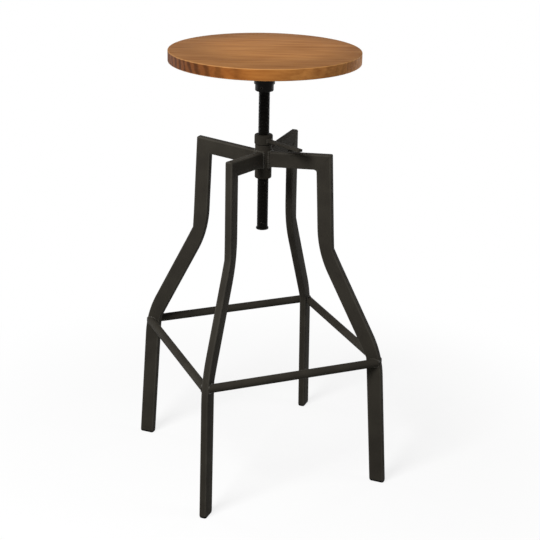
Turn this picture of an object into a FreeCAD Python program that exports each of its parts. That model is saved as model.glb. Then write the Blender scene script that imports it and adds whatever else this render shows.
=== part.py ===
import FreeCAD, Part
import math
import os

from FreeCAD import Placement, Rotation, Vector

os.makedirs("parts", exist_ok=True)

# Swivel bar stool. A round wooden seat stands on a threaded spindle that screws
# through the hub of a four-legged steel frame, and a lever nut locks its height.
# Millimetres, +Z up, origin on the floor under the spindle, front towards -Y.

# Seat board
seat_diameter = 330.0
seat_thickness = 19.5
seat_edge_chamfer = 1.0
seat_top_height = 775.0
stave_count = 5
grain_azimuth = -21.4

# Steel plate under the seat and the wood screws that hold it
plate_side = 110.0
plate_thickness = 4.0
plate_corner_cut = 10.0
screw_spacing = 84.0
screw_shank_diameter = 5.0
screw_head_diameter = 10.0
screw_head_height = 3.0
screw_length = 16.0

# Turned collar that joins the spindle to the plate
collar_diameter = 36.0
collar_length = 47.0
collar_neck_diameter = 32.0
collar_neck_length = 12.2
collar_mouth_chamfer = 2.0
collar_bore_depth = 37.0

# Set screw through the neck of the collar
grub_diameter = 6.0
grub_height_in_neck = 7.0
grub_recess = 0.8
grub_socket_across_flats = 3.0
grub_socket_depth = 3.0
grub_azimuth = -131.4

# Spindle and its lower stop
spindle_diameter = 19.5
spindle_length = 285.8
spindle_chamfer = 1.0
spindle_shown_above_nut = 76.4
stop_ring_diameter = 22.4
stop_ring_height = 3.0

# Hub sleeve
hub_diameter = 29.5
hub_length = 60.5
hub_mouth_chamfer = 1.8

# Lock nut and lever
nut_diameter = 32.0
nut_height = 16.8
nut_top_chamfer = 2.0
lever_reach = 96.5
lever_width = 9.5
lever_thickness = 4.2
lever_end_round = 1.5
lever_azimuth = -72.0
lever_drop = 0.9

# Rectangular tube of the arms and legs
tube_depth = 27.5
tube_width = 13.5
tube_wall = 1.5
tube_corner = 3.0
tube_corner_flats = 3

# Centre line of an arm and a leg: distance from the spindle and height
arm_drop = 26.6
arm_rise = 10.0
corner_reach = 116.8
shoulder_reach = 123.7
shoulder_height = 435.3
knee_reach = 220.8
knee_height = 250.2
foot_reach = 237.2
bend_radius = 120.0

# Lean of each leg about its foot, sideways, so the arms stand turned from the feet
leg_lean = 0.775

# Footrest rods
rod_diameter = 15.0
rod_height = 238.8
rod_end_outset = 2.0

# Plastic end plugs of the legs
glide_height = 4.0
glide_edge_chamfer = 0.8
plug_stem_length = 22.0

# Clearances
running_clearance = 0.06
seated_clearance = 0.05
lock_nut_gap = 0.4
plug_clearance = 0.1

# Places that follow from the sizes above
origin = Vector(0, 0, 0)
radial = Vector(1, 0, 0)
tangent = Vector(0, 1, 0)
up = Vector(0, 0, 1)
lean = Rotation(radial, leg_lean)
seat_underside = seat_top_height - seat_thickness
plate_underside = seat_underside - plate_thickness
collar_bottom = plate_underside - collar_length
neck_top = collar_bottom + collar_neck_length
spindle_top = collar_bottom + collar_bore_depth
spindle_bottom = spindle_top - spindle_length
nut_top = collar_bottom - spindle_shown_above_nut
nut_bottom = nut_top - nut_height
hub_top_height = nut_bottom - lock_nut_gap
hub_bottom = hub_top_height - hub_length
arm_hub_height = hub_top_height - arm_drop
arm_hub_end = Vector(0, 0, arm_hub_height)
corner = Vector(corner_reach, 0, arm_hub_height + arm_rise)
shoulder = Vector(shoulder_reach, 0, shoulder_height)
knee = Vector(knee_reach, 0, knee_height)
foot = Vector(foot_reach, 0, 0)
leaned_corner = lean.multVec(corner)
arm_end = Vector(math.hypot(leaned_corner.x, leaned_corner.y), 0, leaned_corner.z)
arm_turn = math.degrees(math.atan2(leaned_corner.y, leaned_corner.x))
block_size = 4 * seat_top_height

leg_azimuths = {
    "front_right": -45,
    "back_right": 45,
    "back_left": 135,
    "front_left": -135,
}
footrest_azimuths = {"front": 0, "right": 90, "back": 180, "left": 270}


def heading(azimuth):
    """Level unit vector at an azimuth in degrees."""
    angle = math.radians(azimuth)
    return Vector(math.cos(angle), math.sin(angle), 0)


def direction(start, end):
    """Unit vector from one point to another."""
    return (end - start).normalize()


def turned(shape, azimuth):
    """Copy of a shape, turned about the spindle."""
    copy = shape.copy()
    copy.rotate(origin, up, azimuth)
    return copy


def half_space(point, normal):
    """Block that fills the side of a plane that the normal points to."""
    block = Part.makeBox(block_size, block_size, block_size, Vector(-block_size / 2, -block_size / 2, 0))
    block.Placement = Placement(point, Rotation(up, normal))
    return block


def disc(diameter, bottom, top):
    """Upright cylinder on the spindle axis."""
    return Part.makeCylinder(diameter / 2, top - bottom, Vector(0, 0, bottom))


def rim(shape, diameter, height):
    """Round edges of a turned shape, by diameter and height."""
    def matches(edge):
        curve = edge.Curve
        if not isinstance(curve, Part.Circle):
            return False
        return abs(2 * curve.Radius - diameter) < 1e-6 and abs(curve.Center.z - height) < 1e-6

    return [edge for edge in shape.Edges if matches(edge)]


def square_rectangle(depth, width):
    """Face of a rectangle on the origin, depth along X and width along Y."""
    return Part.makePlane(depth, width, Vector(-depth / 2, -width / 2, 0))


def rounded_rectangle(depth, width, corner_radius):
    """Face of a rectangle with each corner rounded off in a few short flats."""
    x = depth / 2 - corner_radius
    y = width / 2 - corner_radius
    points = []
    for quarter, (across, along) in enumerate([(x, y), (-x, y), (-x, -y), (x, -y)]):
        for flat in range(tube_corner_flats + 1):
            azimuth = 90 * (quarter + flat / tube_corner_flats)
            points.append(Vector(across, along, 0) + heading(azimuth) * corner_radius)
    return Part.Face(Part.makePolygon(points + points[:1]))


def facing(section, point, along):
    """Copy of a section, set on a point of a path in the XZ plane, square to the path."""
    copy = section.copy()
    copy.Placement = Placement(point, Rotation(tangent.cross(along), tangent, along, "ZYX"))
    return copy


def bent_bar(path, section):
    """Bar along straight runs in the XZ plane, joined by tangent bends."""
    headings = [direction(start, end) for start, end in zip(path, path[1:])]
    pieces = []
    run_start = path[0]
    for point, before, after in zip(path[1:], headings, headings[1:]):
        turn = before.getAngle(after)
        bend_start = point - before * (bend_radius * math.tan(turn / 2))
        pieces.append(facing(section, run_start, before).extrude(bend_start - run_start))
        axis = before.cross(after).normalize()
        centre = bend_start + axis.cross(before) * bend_radius
        pieces.append(facing(section, bend_start, before).revolve(centre, axis, math.degrees(turn)))
        run_start = point + after * (bend_radius * math.tan(turn / 2))
    pieces.append(facing(section, run_start, headings[-1]).extrude(path[-1] - run_start))
    if len(pieces) == 1:
        return pieces[0]
    return pieces[0].multiFuse(pieces[1:]).removeSplitter().Solids[0]


def tube_outside():
    """Outer section of the frame's tube."""
    return rounded_rectangle(tube_depth, tube_width, tube_corner)


def tube_inside(clearance):
    """Inner section of the frame's tube, less a clearance all round."""
    inset = 2 * (tube_wall + clearance)
    return square_rectangle(tube_depth - inset, tube_width - inset)


def mitre_normal():
    """Normal of the mitre between arm and leg, pointing to the leg's side."""
    leg_way = lean.multVec(direction(corner, shoulder))
    arm_way = direction(leaned_corner, arm_hub_end)
    return (leg_way - arm_way).normalize()


def arm():
    """Tube that rises a little from the hub to the mitred corner."""
    beyond = arm_end + direction(arm_hub_end, arm_end) * tube_depth
    path = [arm_hub_end, beyond]
    tube = bent_bar(path, tube_outside()).cut(bent_bar(path, tube_inside(0)))
    tube = turned(tube, arm_turn).common(half_space(leaned_corner, mitre_normal() * -1))
    return tube.cut(disc(hub_diameter, hub_bottom, hub_top_height))


def leg_bar(section):
    """Filled bar along a leg, mitred at the corner and running on below the floor."""
    above = corner - direction(corner, shoulder) * tube_depth
    below = foot + direction(knee, foot) * tube_depth
    bar = bent_bar([above, shoulder, knee, below], section)
    bar.rotate(origin, radial, leg_lean)
    return bar.common(half_space(leaned_corner, mitre_normal()))


def leg():
    """Bent tube from the mitred corner to just above the floor."""
    tube = leg_bar(tube_outside()).cut(leg_bar(tube_inside(0)))
    return tube.common(half_space(Vector(0, 0, glide_height), up))


def foot_plug():
    """Plastic plug with a stem in the leg and a glide on the floor."""
    floor = half_space(origin, up)
    above_glide = half_space(Vector(0, 0, glide_height), up)
    above_stem = half_space(Vector(0, 0, glide_height + plug_stem_length), up)
    glide = leg_bar(tube_outside()).common(floor).cut(above_glide)
    ground_edges = [edge for edge in glide.Edges if edge.BoundBox.ZMax < 1e-6]
    glide = glide.makeChamfer(glide_edge_chamfer, ground_edges)
    stem = leg_bar(tube_inside(plug_clearance)).common(above_glide).cut(above_stem)
    return glide.fuse(stem).removeSplitter()


def leg_reach_at(height):
    """Distance of the leg's centre line from the spindle below the knee."""
    return foot_reach + (knee_reach - foot_reach) * height / knee_height


def footrest():
    """Front rod, with both ends cut to lie on the wide faces of two leaning legs."""
    axes_meet = leg_reach_at(rod_height) + rod_end_outset + tube_width / 2
    offset = axes_meet * math.sqrt(0.5)
    left_end = Vector(-offset, -offset, rod_height)
    rod = Part.makeCylinder(rod_diameter / 2, 2 * offset, left_end, radial)
    shift = lean.multVec(up * rod_height).y
    rod = turned(rod, math.degrees(math.atan2(shift, axes_meet)))
    inner_faces = {"front_left": tangent, "front_right": tangent * -1}
    for place, face in inner_faces.items():
        outward = Rotation(up, leg_azimuths[place]).multVec(lean.multVec(face))
        rod = rod.common(half_space(outward * (tube_width / 2), outward))
    return rod


def hub_sleeve():
    """Thick sleeve that carries the arms and guides the spindle."""
    sleeve = disc(hub_diameter, hub_bottom, hub_top_height)
    sleeve = sleeve.makeChamfer(hub_mouth_chamfer, rim(sleeve, hub_diameter, hub_bottom))
    return sleeve.cut(disc(spindle_diameter + 2 * running_clearance, hub_bottom, hub_top_height))


def lock_nut():
    """Round nut with a rounded top, just above the hub."""
    nut = disc(nut_diameter, nut_bottom, nut_top)
    nut = nut.makeChamfer(nut_top_chamfer, rim(nut, nut_diameter, nut_top))
    return nut.cut(disc(spindle_diameter + 2 * running_clearance, nut_bottom, nut_top))


def lock_lever():
    """Flat bar that stands out from the side of the lock nut, a little below its middle."""
    lever_bottom = (nut_bottom + nut_top - lever_thickness) / 2 - lever_drop
    bar = Part.makeBox(lever_reach, lever_width, lever_thickness, Vector(0, -lever_width / 2, lever_bottom))
    end_face = max(bar.Faces, key=lambda face: face.CenterOfMass.x)
    upright_edges = [edge for edge in end_face.Edges if edge.BoundBox.ZLength > lever_thickness / 2]
    bar = bar.makeFillet(lever_end_round, upright_edges)
    return turned(bar.cut(disc(nut_diameter, nut_bottom, nut_top)), lever_azimuth)


def spindle():
    """Spindle at the full diameter of its thread, chamfered at both ends."""
    rod = disc(spindle_diameter, spindle_bottom, spindle_top)
    ends = rim(rod, spindle_diameter, spindle_bottom) + rim(rod, spindle_diameter, spindle_top)
    return rod.makeChamfer(spindle_chamfer, ends)


def spindle_stop_ring():
    """Ring at the lower end of the spindle, wider than the bore of the hub."""
    ring_top = spindle_bottom + stop_ring_height
    ring = disc(stop_ring_diameter, spindle_bottom, ring_top)
    return ring.cut(disc(spindle_diameter + 2 * running_clearance, spindle_bottom, ring_top))


def grub_cylinder(diameter, inner_radius, outer_radius):
    """Cylinder on the axis of the set screw, between two distances from the spindle axis."""
    along = heading(grub_azimuth)
    start = along * inner_radius + Vector(0, 0, collar_bottom + grub_height_in_neck)
    return Part.makeCylinder(diameter / 2, outer_radius - inner_radius, start, along)


def seat_collar():
    """Stepped socket that holds the top of the spindle."""
    body = disc(collar_diameter, neck_top, plate_underside)
    body = body.fuse(disc(collar_neck_diameter, collar_bottom, neck_top)).removeSplitter()
    body = body.makeChamfer(collar_mouth_chamfer, rim(body, collar_neck_diameter, collar_bottom))
    body = body.cut(disc(spindle_diameter + 2 * seated_clearance, collar_bottom, spindle_top))
    return body.cut(grub_cylinder(grub_diameter + 2 * seated_clearance, 0, collar_diameter))


def grub_screw():
    """Set screw with a hexagon socket, tight on the spindle."""
    head_reach = collar_neck_diameter / 2 - grub_recess
    screw = grub_cylinder(grub_diameter, 0, head_reach)
    screw = screw.cut(disc(spindle_diameter, spindle_bottom, spindle_top))
    along = heading(grub_azimuth)
    centre = Vector(0, 0, collar_bottom + grub_height_in_neck)
    key_radius = grub_socket_across_flats / math.sqrt(3)
    hexagon = Part.makePolygon([heading(60 * side) * key_radius for side in range(7)])
    socket = Part.Face(hexagon).extrude(up * grub_socket_depth)
    socket.Placement = Placement(centre + along * (head_reach - grub_socket_depth), Rotation(up, along))
    return screw.cut(socket)


def screw_places():
    """Screw centres on the underside of the plate, in a square that lies along the grain."""
    places = []
    for along, across in ((1, 1), (-1, 1), (-1, -1), (1, -1)):
        place = Vector(along * screw_spacing / 2, across * screw_spacing / 2, plate_underside)
        places.append(Rotation(up, grain_azimuth).multVec(place))
    return places


def screw_holes():
    """Holes for the screw shanks through the plate and into the seat."""
    radius = screw_shank_diameter / 2 + seated_clearance
    holes = [Part.makeCylinder(radius, screw_length, place) for place in screw_places()]
    return Part.makeCompound(holes)


def seat_screws():
    """Round-headed wood screws, one solid each."""
    screws = []
    for place in screw_places():
        crown = place - up * screw_head_height
        head = Part.makeCylinder(screw_head_diameter / 2, screw_head_height, crown)
        shank = Part.makeCylinder(screw_shank_diameter / 2, screw_length, place)
        screws.append(head.fuse(shank).removeSplitter())
    return Part.makeCompound(screws)


def seat_plate():
    """Square steel plate with cut corners, between the collar and the seat."""
    near_corner = Vector(-plate_side / 2, -plate_side / 2, plate_underside)
    plate = Part.makeBox(plate_side, plate_side, plate_thickness, near_corner)
    upright_edges = [edge for edge in plate.Edges if edge.BoundBox.ZLength > plate_thickness / 2]
    plate = plate.makeChamfer(plate_corner_cut, upright_edges)
    return turned(plate, grain_azimuth).cut(screw_holes())


def seat_staves():
    """Round seat board, cut along the grain into its glued staves."""
    board = disc(seat_diameter, seat_underside, seat_top_height)
    rims = rim(board, seat_diameter, seat_underside) + rim(board, seat_diameter, seat_top_height)
    board = board.makeChamfer(seat_edge_chamfer, rims).cut(screw_holes())
    stave_width = seat_diameter / stave_count
    staves = []
    for index in range(stave_count):
        corner_point = Vector(-seat_diameter / 2, index * stave_width - seat_diameter / 2, seat_underside)
        plank = Part.makeBox(seat_diameter, stave_width, seat_thickness, corner_point)
        staves.append(board.common(turned(plank, grain_azimuth)))
    return staves


nodes = {
    "hub_sleeve": hub_sleeve(),
    "lock_nut": lock_nut(),
    "lock_lever": lock_lever(),
    "spindle": spindle(),
    "spindle_stop_ring": spindle_stop_ring(),
    "seat_collar": seat_collar(),
    "grub_screw": grub_screw(),
    "seat_plate": seat_plate(),
    "seat_screws": seat_screws(),
}
for number, stave in enumerate(seat_staves(), start=1):
    nodes[f"seat_stave_{number}"] = stave
for builder in (arm, leg, foot_plug):
    shape = builder()
    for place, azimuth in leg_azimuths.items():
        nodes[f"{builder.__name__}_{place}"] = turned(shape, azimuth)
front_rod = footrest()
for side, azimuth in footrest_azimuths.items():
    nodes[f"footrest_{side}"] = turned(front_rod, azimuth)

for name, shape in nodes.items():
    shape.exportStep(f"parts/{name}.step")
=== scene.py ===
import math
from functools import partial

import bmesh
import bpy
from bpy.props import FloatProperty, FloatVectorProperty, PointerProperty
from bpy.types import Operator, Panel, PropertyGroup
from mathutils import Matrix, Vector


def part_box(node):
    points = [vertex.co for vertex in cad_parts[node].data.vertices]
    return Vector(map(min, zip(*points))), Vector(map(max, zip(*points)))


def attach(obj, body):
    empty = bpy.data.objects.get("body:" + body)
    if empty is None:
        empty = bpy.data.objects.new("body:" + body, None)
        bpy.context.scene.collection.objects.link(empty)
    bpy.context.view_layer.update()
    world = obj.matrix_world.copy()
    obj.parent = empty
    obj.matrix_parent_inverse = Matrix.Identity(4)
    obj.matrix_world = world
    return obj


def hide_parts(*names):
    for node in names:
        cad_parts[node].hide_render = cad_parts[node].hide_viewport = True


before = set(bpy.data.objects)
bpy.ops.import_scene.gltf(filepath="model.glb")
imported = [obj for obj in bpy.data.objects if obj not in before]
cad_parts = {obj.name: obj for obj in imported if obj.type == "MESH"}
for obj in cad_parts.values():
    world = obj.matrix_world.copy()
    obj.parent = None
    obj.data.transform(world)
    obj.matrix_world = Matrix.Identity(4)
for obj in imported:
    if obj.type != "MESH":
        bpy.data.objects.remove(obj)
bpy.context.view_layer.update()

bl_info = {
    "name": "Swivel bar stool",
    "version": (1, 0, 0),
    "blender": (4, 5, 0),
    "location": "3D View > Sidebar > Bar stool",
    "description": "Models the finished pieces of a screw-height bar stool around its packed frame",
    "category": "Object",
}

MM = 0.001
X, Y, Z = Vector((1, 0, 0)), Vector((0, 1, 0)), Vector((0, 0, 1))
QUARTER = math.pi / 2
LEG_AZIMUTHS = {"front_right": -0.5 * QUARTER, "back_right": 0.5 * QUARTER,
                "back_left": 1.5 * QUARTER, "front_left": -1.5 * QUARTER}
ROD_AZIMUTHS = {"front": 0, "right": QUARTER, "back": 2 * QUARTER, "left": 3 * QUARTER}
SHARP_ANGLE = math.radians(35)
SMOOTH_ANGLE = math.radians(32)
SMOOTH = {"interpolation_type": "SMOOTHSTEP"}
STAVES = sorted(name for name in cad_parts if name.startswith("seat_stave_"))


def linear(code):
    """sRGB hex colour as linear red, green and blue."""
    channels = [int(code[place:place + 2], 16) / 255 for place in (0, 2, 4)]
    return tuple(c / 12.92 if c <= 0.04045 else ((c + 0.055) / 1.055) ** 2.4 for c in channels)


def size(name, description, millimetres):
    """Property for a length."""
    return FloatProperty(name=name, description=description, default=millimetres * MM,
                         min=0, precision=5, unit="LENGTH")


def turn(name, description, degrees):
    """Property for an angle."""
    return FloatProperty(name=name, description=description, default=math.radians(degrees),
                         subtype="ANGLE", unit="ROTATION")


def tint(name, description, code):
    """Property for a colour."""
    return FloatVectorProperty(name=name, description=description, default=linear(code),
                               size=3, min=0, max=1, subtype="COLOR")


def share(name, description, default):
    """Property for a plain factor."""
    return FloatProperty(name=name, description=description, default=default, min=0, subtype="FACTOR")


def watts(name, description, default):
    """Property for the power of a soft box."""
    return FloatProperty(name=name, description=description, default=default, min=0, unit="POWER")


class SeatBoardSettings(PropertyGroup):
    """Round board of glued pine staves."""

    edge_round: size("Edge round", "Radius of the eased rim, top and bottom", 1.5)
    grain_azimuth: turn("Grain azimuth", "Direction of the grain about the spindle", -21.4)
    ring_width: size("Ring width", "Spacing of the growth rings", 12.5)
    light_wood: tint("Light wood", "Stained early wood", "B57D43")
    dark_wood: tint("Dark wood", "Stained late wood", "8E592A")
    end_light: tint("Light end wood", "Early wood where it is cut across", "6C452A")
    end_dark: tint("Dark end wood", "Late wood where it is cut across and stain soaked in", "563621")
    # Partly a painted highlight along the eased edges of the seat.
    edge_wood: tint("Edge wood", "Wood along the rim where the stain is sanded thin", "D39B60")
    # This tint is laid heavier towards the near end of the rim as painted shade.
    rim_stain: tint("Rim stain", "Tint of the deeper stain on the upright rim", "ECD8B8")


class SeatMountSettings(PropertyGroup):
    """Plate, collar and screws between seat and spindle."""

    neck_length: size("Neck length", "Height of the collar's narrow lower part", 12.2)
    neck_diameter: size("Neck diameter", "Diameter of the collar's narrow lower part", 32.0)
    mouth_round: size("Mouth round", "Rounding at the collar's lower mouth", 2.0)
    shoulder_round: size("Shoulder round", "Rounding under the collar's wider top", 0.8)
    plate_side: size("Plate side", "Side of the square plate", 110.0)
    plate_corner_cut: size("Plate corner cut", "Corner cut off the square plate", 10.0)
    plate_edge: size("Plate edge", "Eased edge of the plate", 0.4)
    screw_spacing: size("Screw spacing", "Side of the square that the screws stand in", 84.0)
    screw_head: size("Screw head", "Diameter of a screw head", 10.0)
    screw_socket: size("Screw socket", "Width across the flats of a screw's socket", 4.0)
    grub_hole: size("Grub hole", "Diameter of the hole for the set screw", 6.1)
    steel: tint("Screw steel", "Blackened steel of the screws", "1A1816")
    scuffed_steel: tint("Scuffed steel", "Screw steel where it is scuffed", "322F2C")


class SpindleSettings(PropertyGroup):
    """Threaded spindle and its stop ring."""

    thread_pitch: size("Thread pitch", "Rise of the seat in one turn", 2.5)
    thread_depth: size("Thread depth", "Depth of the thread groove", 1.3)
    ring_round: size("Ring round", "Rounding of the stop ring", 0.7)
    running_clearance: size("Running clearance", "Gap between the spindle and a bore", 0.06)
    black_steel: tint("Black steel", "Oiled black finish of the thread", "0E0C09")
    # The bright specks are partly wear and partly painted glints on the crests.
    bare_steel_and_glint: tint("Bare steel", "Steel where the finish has rubbed off", "7A756C")


class TubeFrameSettings(PropertyGroup):
    """Hub, arms, legs and footrests of coated steel."""

    tube_depth: size("Tube depth", "Long side of the tube section", 27.5)
    tube_width: size("Tube width", "Short side of the tube section", 13.5)
    tube_corner: size("Tube corner", "Corner radius of the tube section", 3.3)
    arm_hub_height: size("Arm height at hub", "Height of an arm's centre line at the spindle", 584.3)
    corner_height: size("Corner height", "Height of the mitred corner", 594.3)
    corner_reach: size("Corner reach", "Distance of the mitred corner from the spindle", 116.8)
    shoulder_height: size("Shoulder height", "Height of the upper bend", 435.3)
    shoulder_reach: size("Shoulder reach", "Distance of the upper bend from the spindle", 123.7)
    knee_height: size("Knee height", "Height of the lower bend", 250.2)
    knee_reach: size("Knee reach", "Distance of the lower bend from the spindle", 220.8)
    foot_reach: size("Foot reach", "Distance of a foot from the spindle", 237.2)
    bend_radius: size("Bend radius", "Radius of a bend's centre line", 180.0)
    leg_lean: turn("Leg lean", "Sideways lean of a leg about its foot", 0.775)
    crease: share("Crease", "How far the hollow side of a bend is pressed to a sharp corner", 0.9)
    hub_mouth_round: size("Hub mouth round", "Rounding at the hub's lower end", 1.8)
    hub_top_round: size("Hub top round", "Rounding at the hub's upper end", 1.4)
    rod_height: size("Rod height", "Height of a footrest rod's axis", 238.8)
    rod_offset: size("Rod offset", "Distance of a footrest rod's axis from the spindle", 162.845)
    rod_diameter: size("Rod diameter", "Diameter of a footrest rod", 15.0)
    weld_width: size("Weld width", "Width of a weld bead", 4.2)
    weld_ripple: size("Weld ripple", "Spacing of the ripples along a weld bead", 3.6)
    crook_fillet: size("Crook fillet", "Radius of the weld inside the mitred corner", 3.6)
    apex_round: size("Apex round", "Radius ground on the outside of the mitred corner", 3.2)
    glide_height: size("Glide height", "Height of the plastic foot below the tube", 4.0)
    glide_corner: size("Glide corner", "Rounding of the plastic foot's upright corners", 4.4)
    glide_edge: size("Glide edge", "Rounding of the plastic foot's lower edge", 2.4)
    coat_dark: tint("Dark coat", "Darker patches of the powder coat", "302D28")
    coat_light: tint("Light coat", "Lighter patches of the powder coat", "36332D")
    # Paler edges are partly rubbed wear and partly a painted highlight.
    coat_rubbed_and_lit: tint("Rubbed coat", "Coat rubbed along the edges of the tubes", "4A4741")
    # The lighter weld colour is a painted highlight on the beads.
    weld_highlight: tint("Weld light", "Thicker coat over the weld beads", "43403A")
    glide_black: tint("Glide black", "Black of the moulded feet", "060606")
    glide_worn: tint("Worn glide", "The same black where the mould grain stands out", "0E0E0D")


class LockSettings(PropertyGroup):
    """Lock nut and its lever."""

    nut_round: size("Nut round", "Rounding of the nut's upper rim", 2.2)
    nut_foot_round: size("Nut foot round", "Rounding of the nut's lower rim", 1.4)
    lever_azimuth: turn("Lever azimuth", "Direction of the lever about the spindle", -72.0)
    lever_reach: size("Lever reach", "Distance of the lever's tip from the spindle", 96.5)
    lever_width: size("Lever width", "Width of the flat bar", 9.5)
    lever_round: size("Lever round", "Radius of the lever's upright end corners", 1.5)
    lever_edge: size("Lever edge", "Eased edge of the flat bar", 0.5)


class StageSettings(PropertyGroup):
    """Camera, floor and studio light."""

    camera_azimuth: turn("Camera azimuth", "Direction of the camera about the spindle", -112.516)
    camera_distance: size("Camera distance", "Level distance of the camera from the spindle", 2127.8)
    camera_height: size("Camera height", "Height of the camera", 1173.0)
    aim_height: size("Aim height", "Height of the picture's middle on the stool", 376.5)
    aim_offset: size("Aim offset", "Distance of the picture's middle to the right of the spindle", 15.3)
    camera_roll: turn("Camera roll", "Tilt of the camera about its own axis", 1.066)
    lens: FloatProperty(name="Lens", description="Focal length on a 36 mm sensor",
                        default=83.912, min=1, unit="CAMERA")
    floor_side: size("Floor side", "Side of the pale floor", 40000.0)
    floor_grey: tint("Floor grey", "Floor as it throws light back on the stool", "A8A8A6")
    floor_white: tint("Floor white", "Floor as it is seen", "FFFFFF")
    floor_glow: share("Floor glow", "How much of the floor's white near the stool is its own", 0.82)
    world_level: share("World level", "Strength of the even studio light", 0.09)
    key_power: watts("Key power", "Power of the main soft box", 62)
    fill_power: watts("Fill power", "Power of the soft box on the right", 15)
    back_power: watts("Back power", "Power of each low back soft box", 10)


class StoolSettings(PropertyGroup):
    """All sizes and colours of the stool."""

    seat_board: PointerProperty(type=SeatBoardSettings)
    seat_mount: PointerProperty(type=SeatMountSettings)
    spindle: PointerProperty(type=SpindleSettings)
    tube_frame: PointerProperty(type=TubeFrameSettings)
    lock: PointerProperty(type=LockSettings)
    stage: PointerProperty(type=StageSettings)


def add_node(tree, kind, inputs=None, **settings):
    """Add a shader node with its settings, and feed its inputs with values, sockets or nodes."""
    node = tree.nodes.new("ShaderNode" + kind)
    for key, value in settings.items():
        setattr(node, key, value)
    for key, value in (inputs or {}).items():
        if isinstance(value, bpy.types.Node):
            value = next(output for output in value.outputs if output.enabled)
        if isinstance(value, bpy.types.NodeSocket):
            tree.links.new(value, node.inputs[key])
        else:
            node.inputs[key].default_value = value
    return node


def empty_tree(name):
    """New material, and the function that adds nodes to its cleared tree."""
    material = bpy.data.materials.new(name)
    material.use_nodes = True
    material.node_tree.nodes.clear()
    return material, partial(add_node, material.node_tree)


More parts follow.
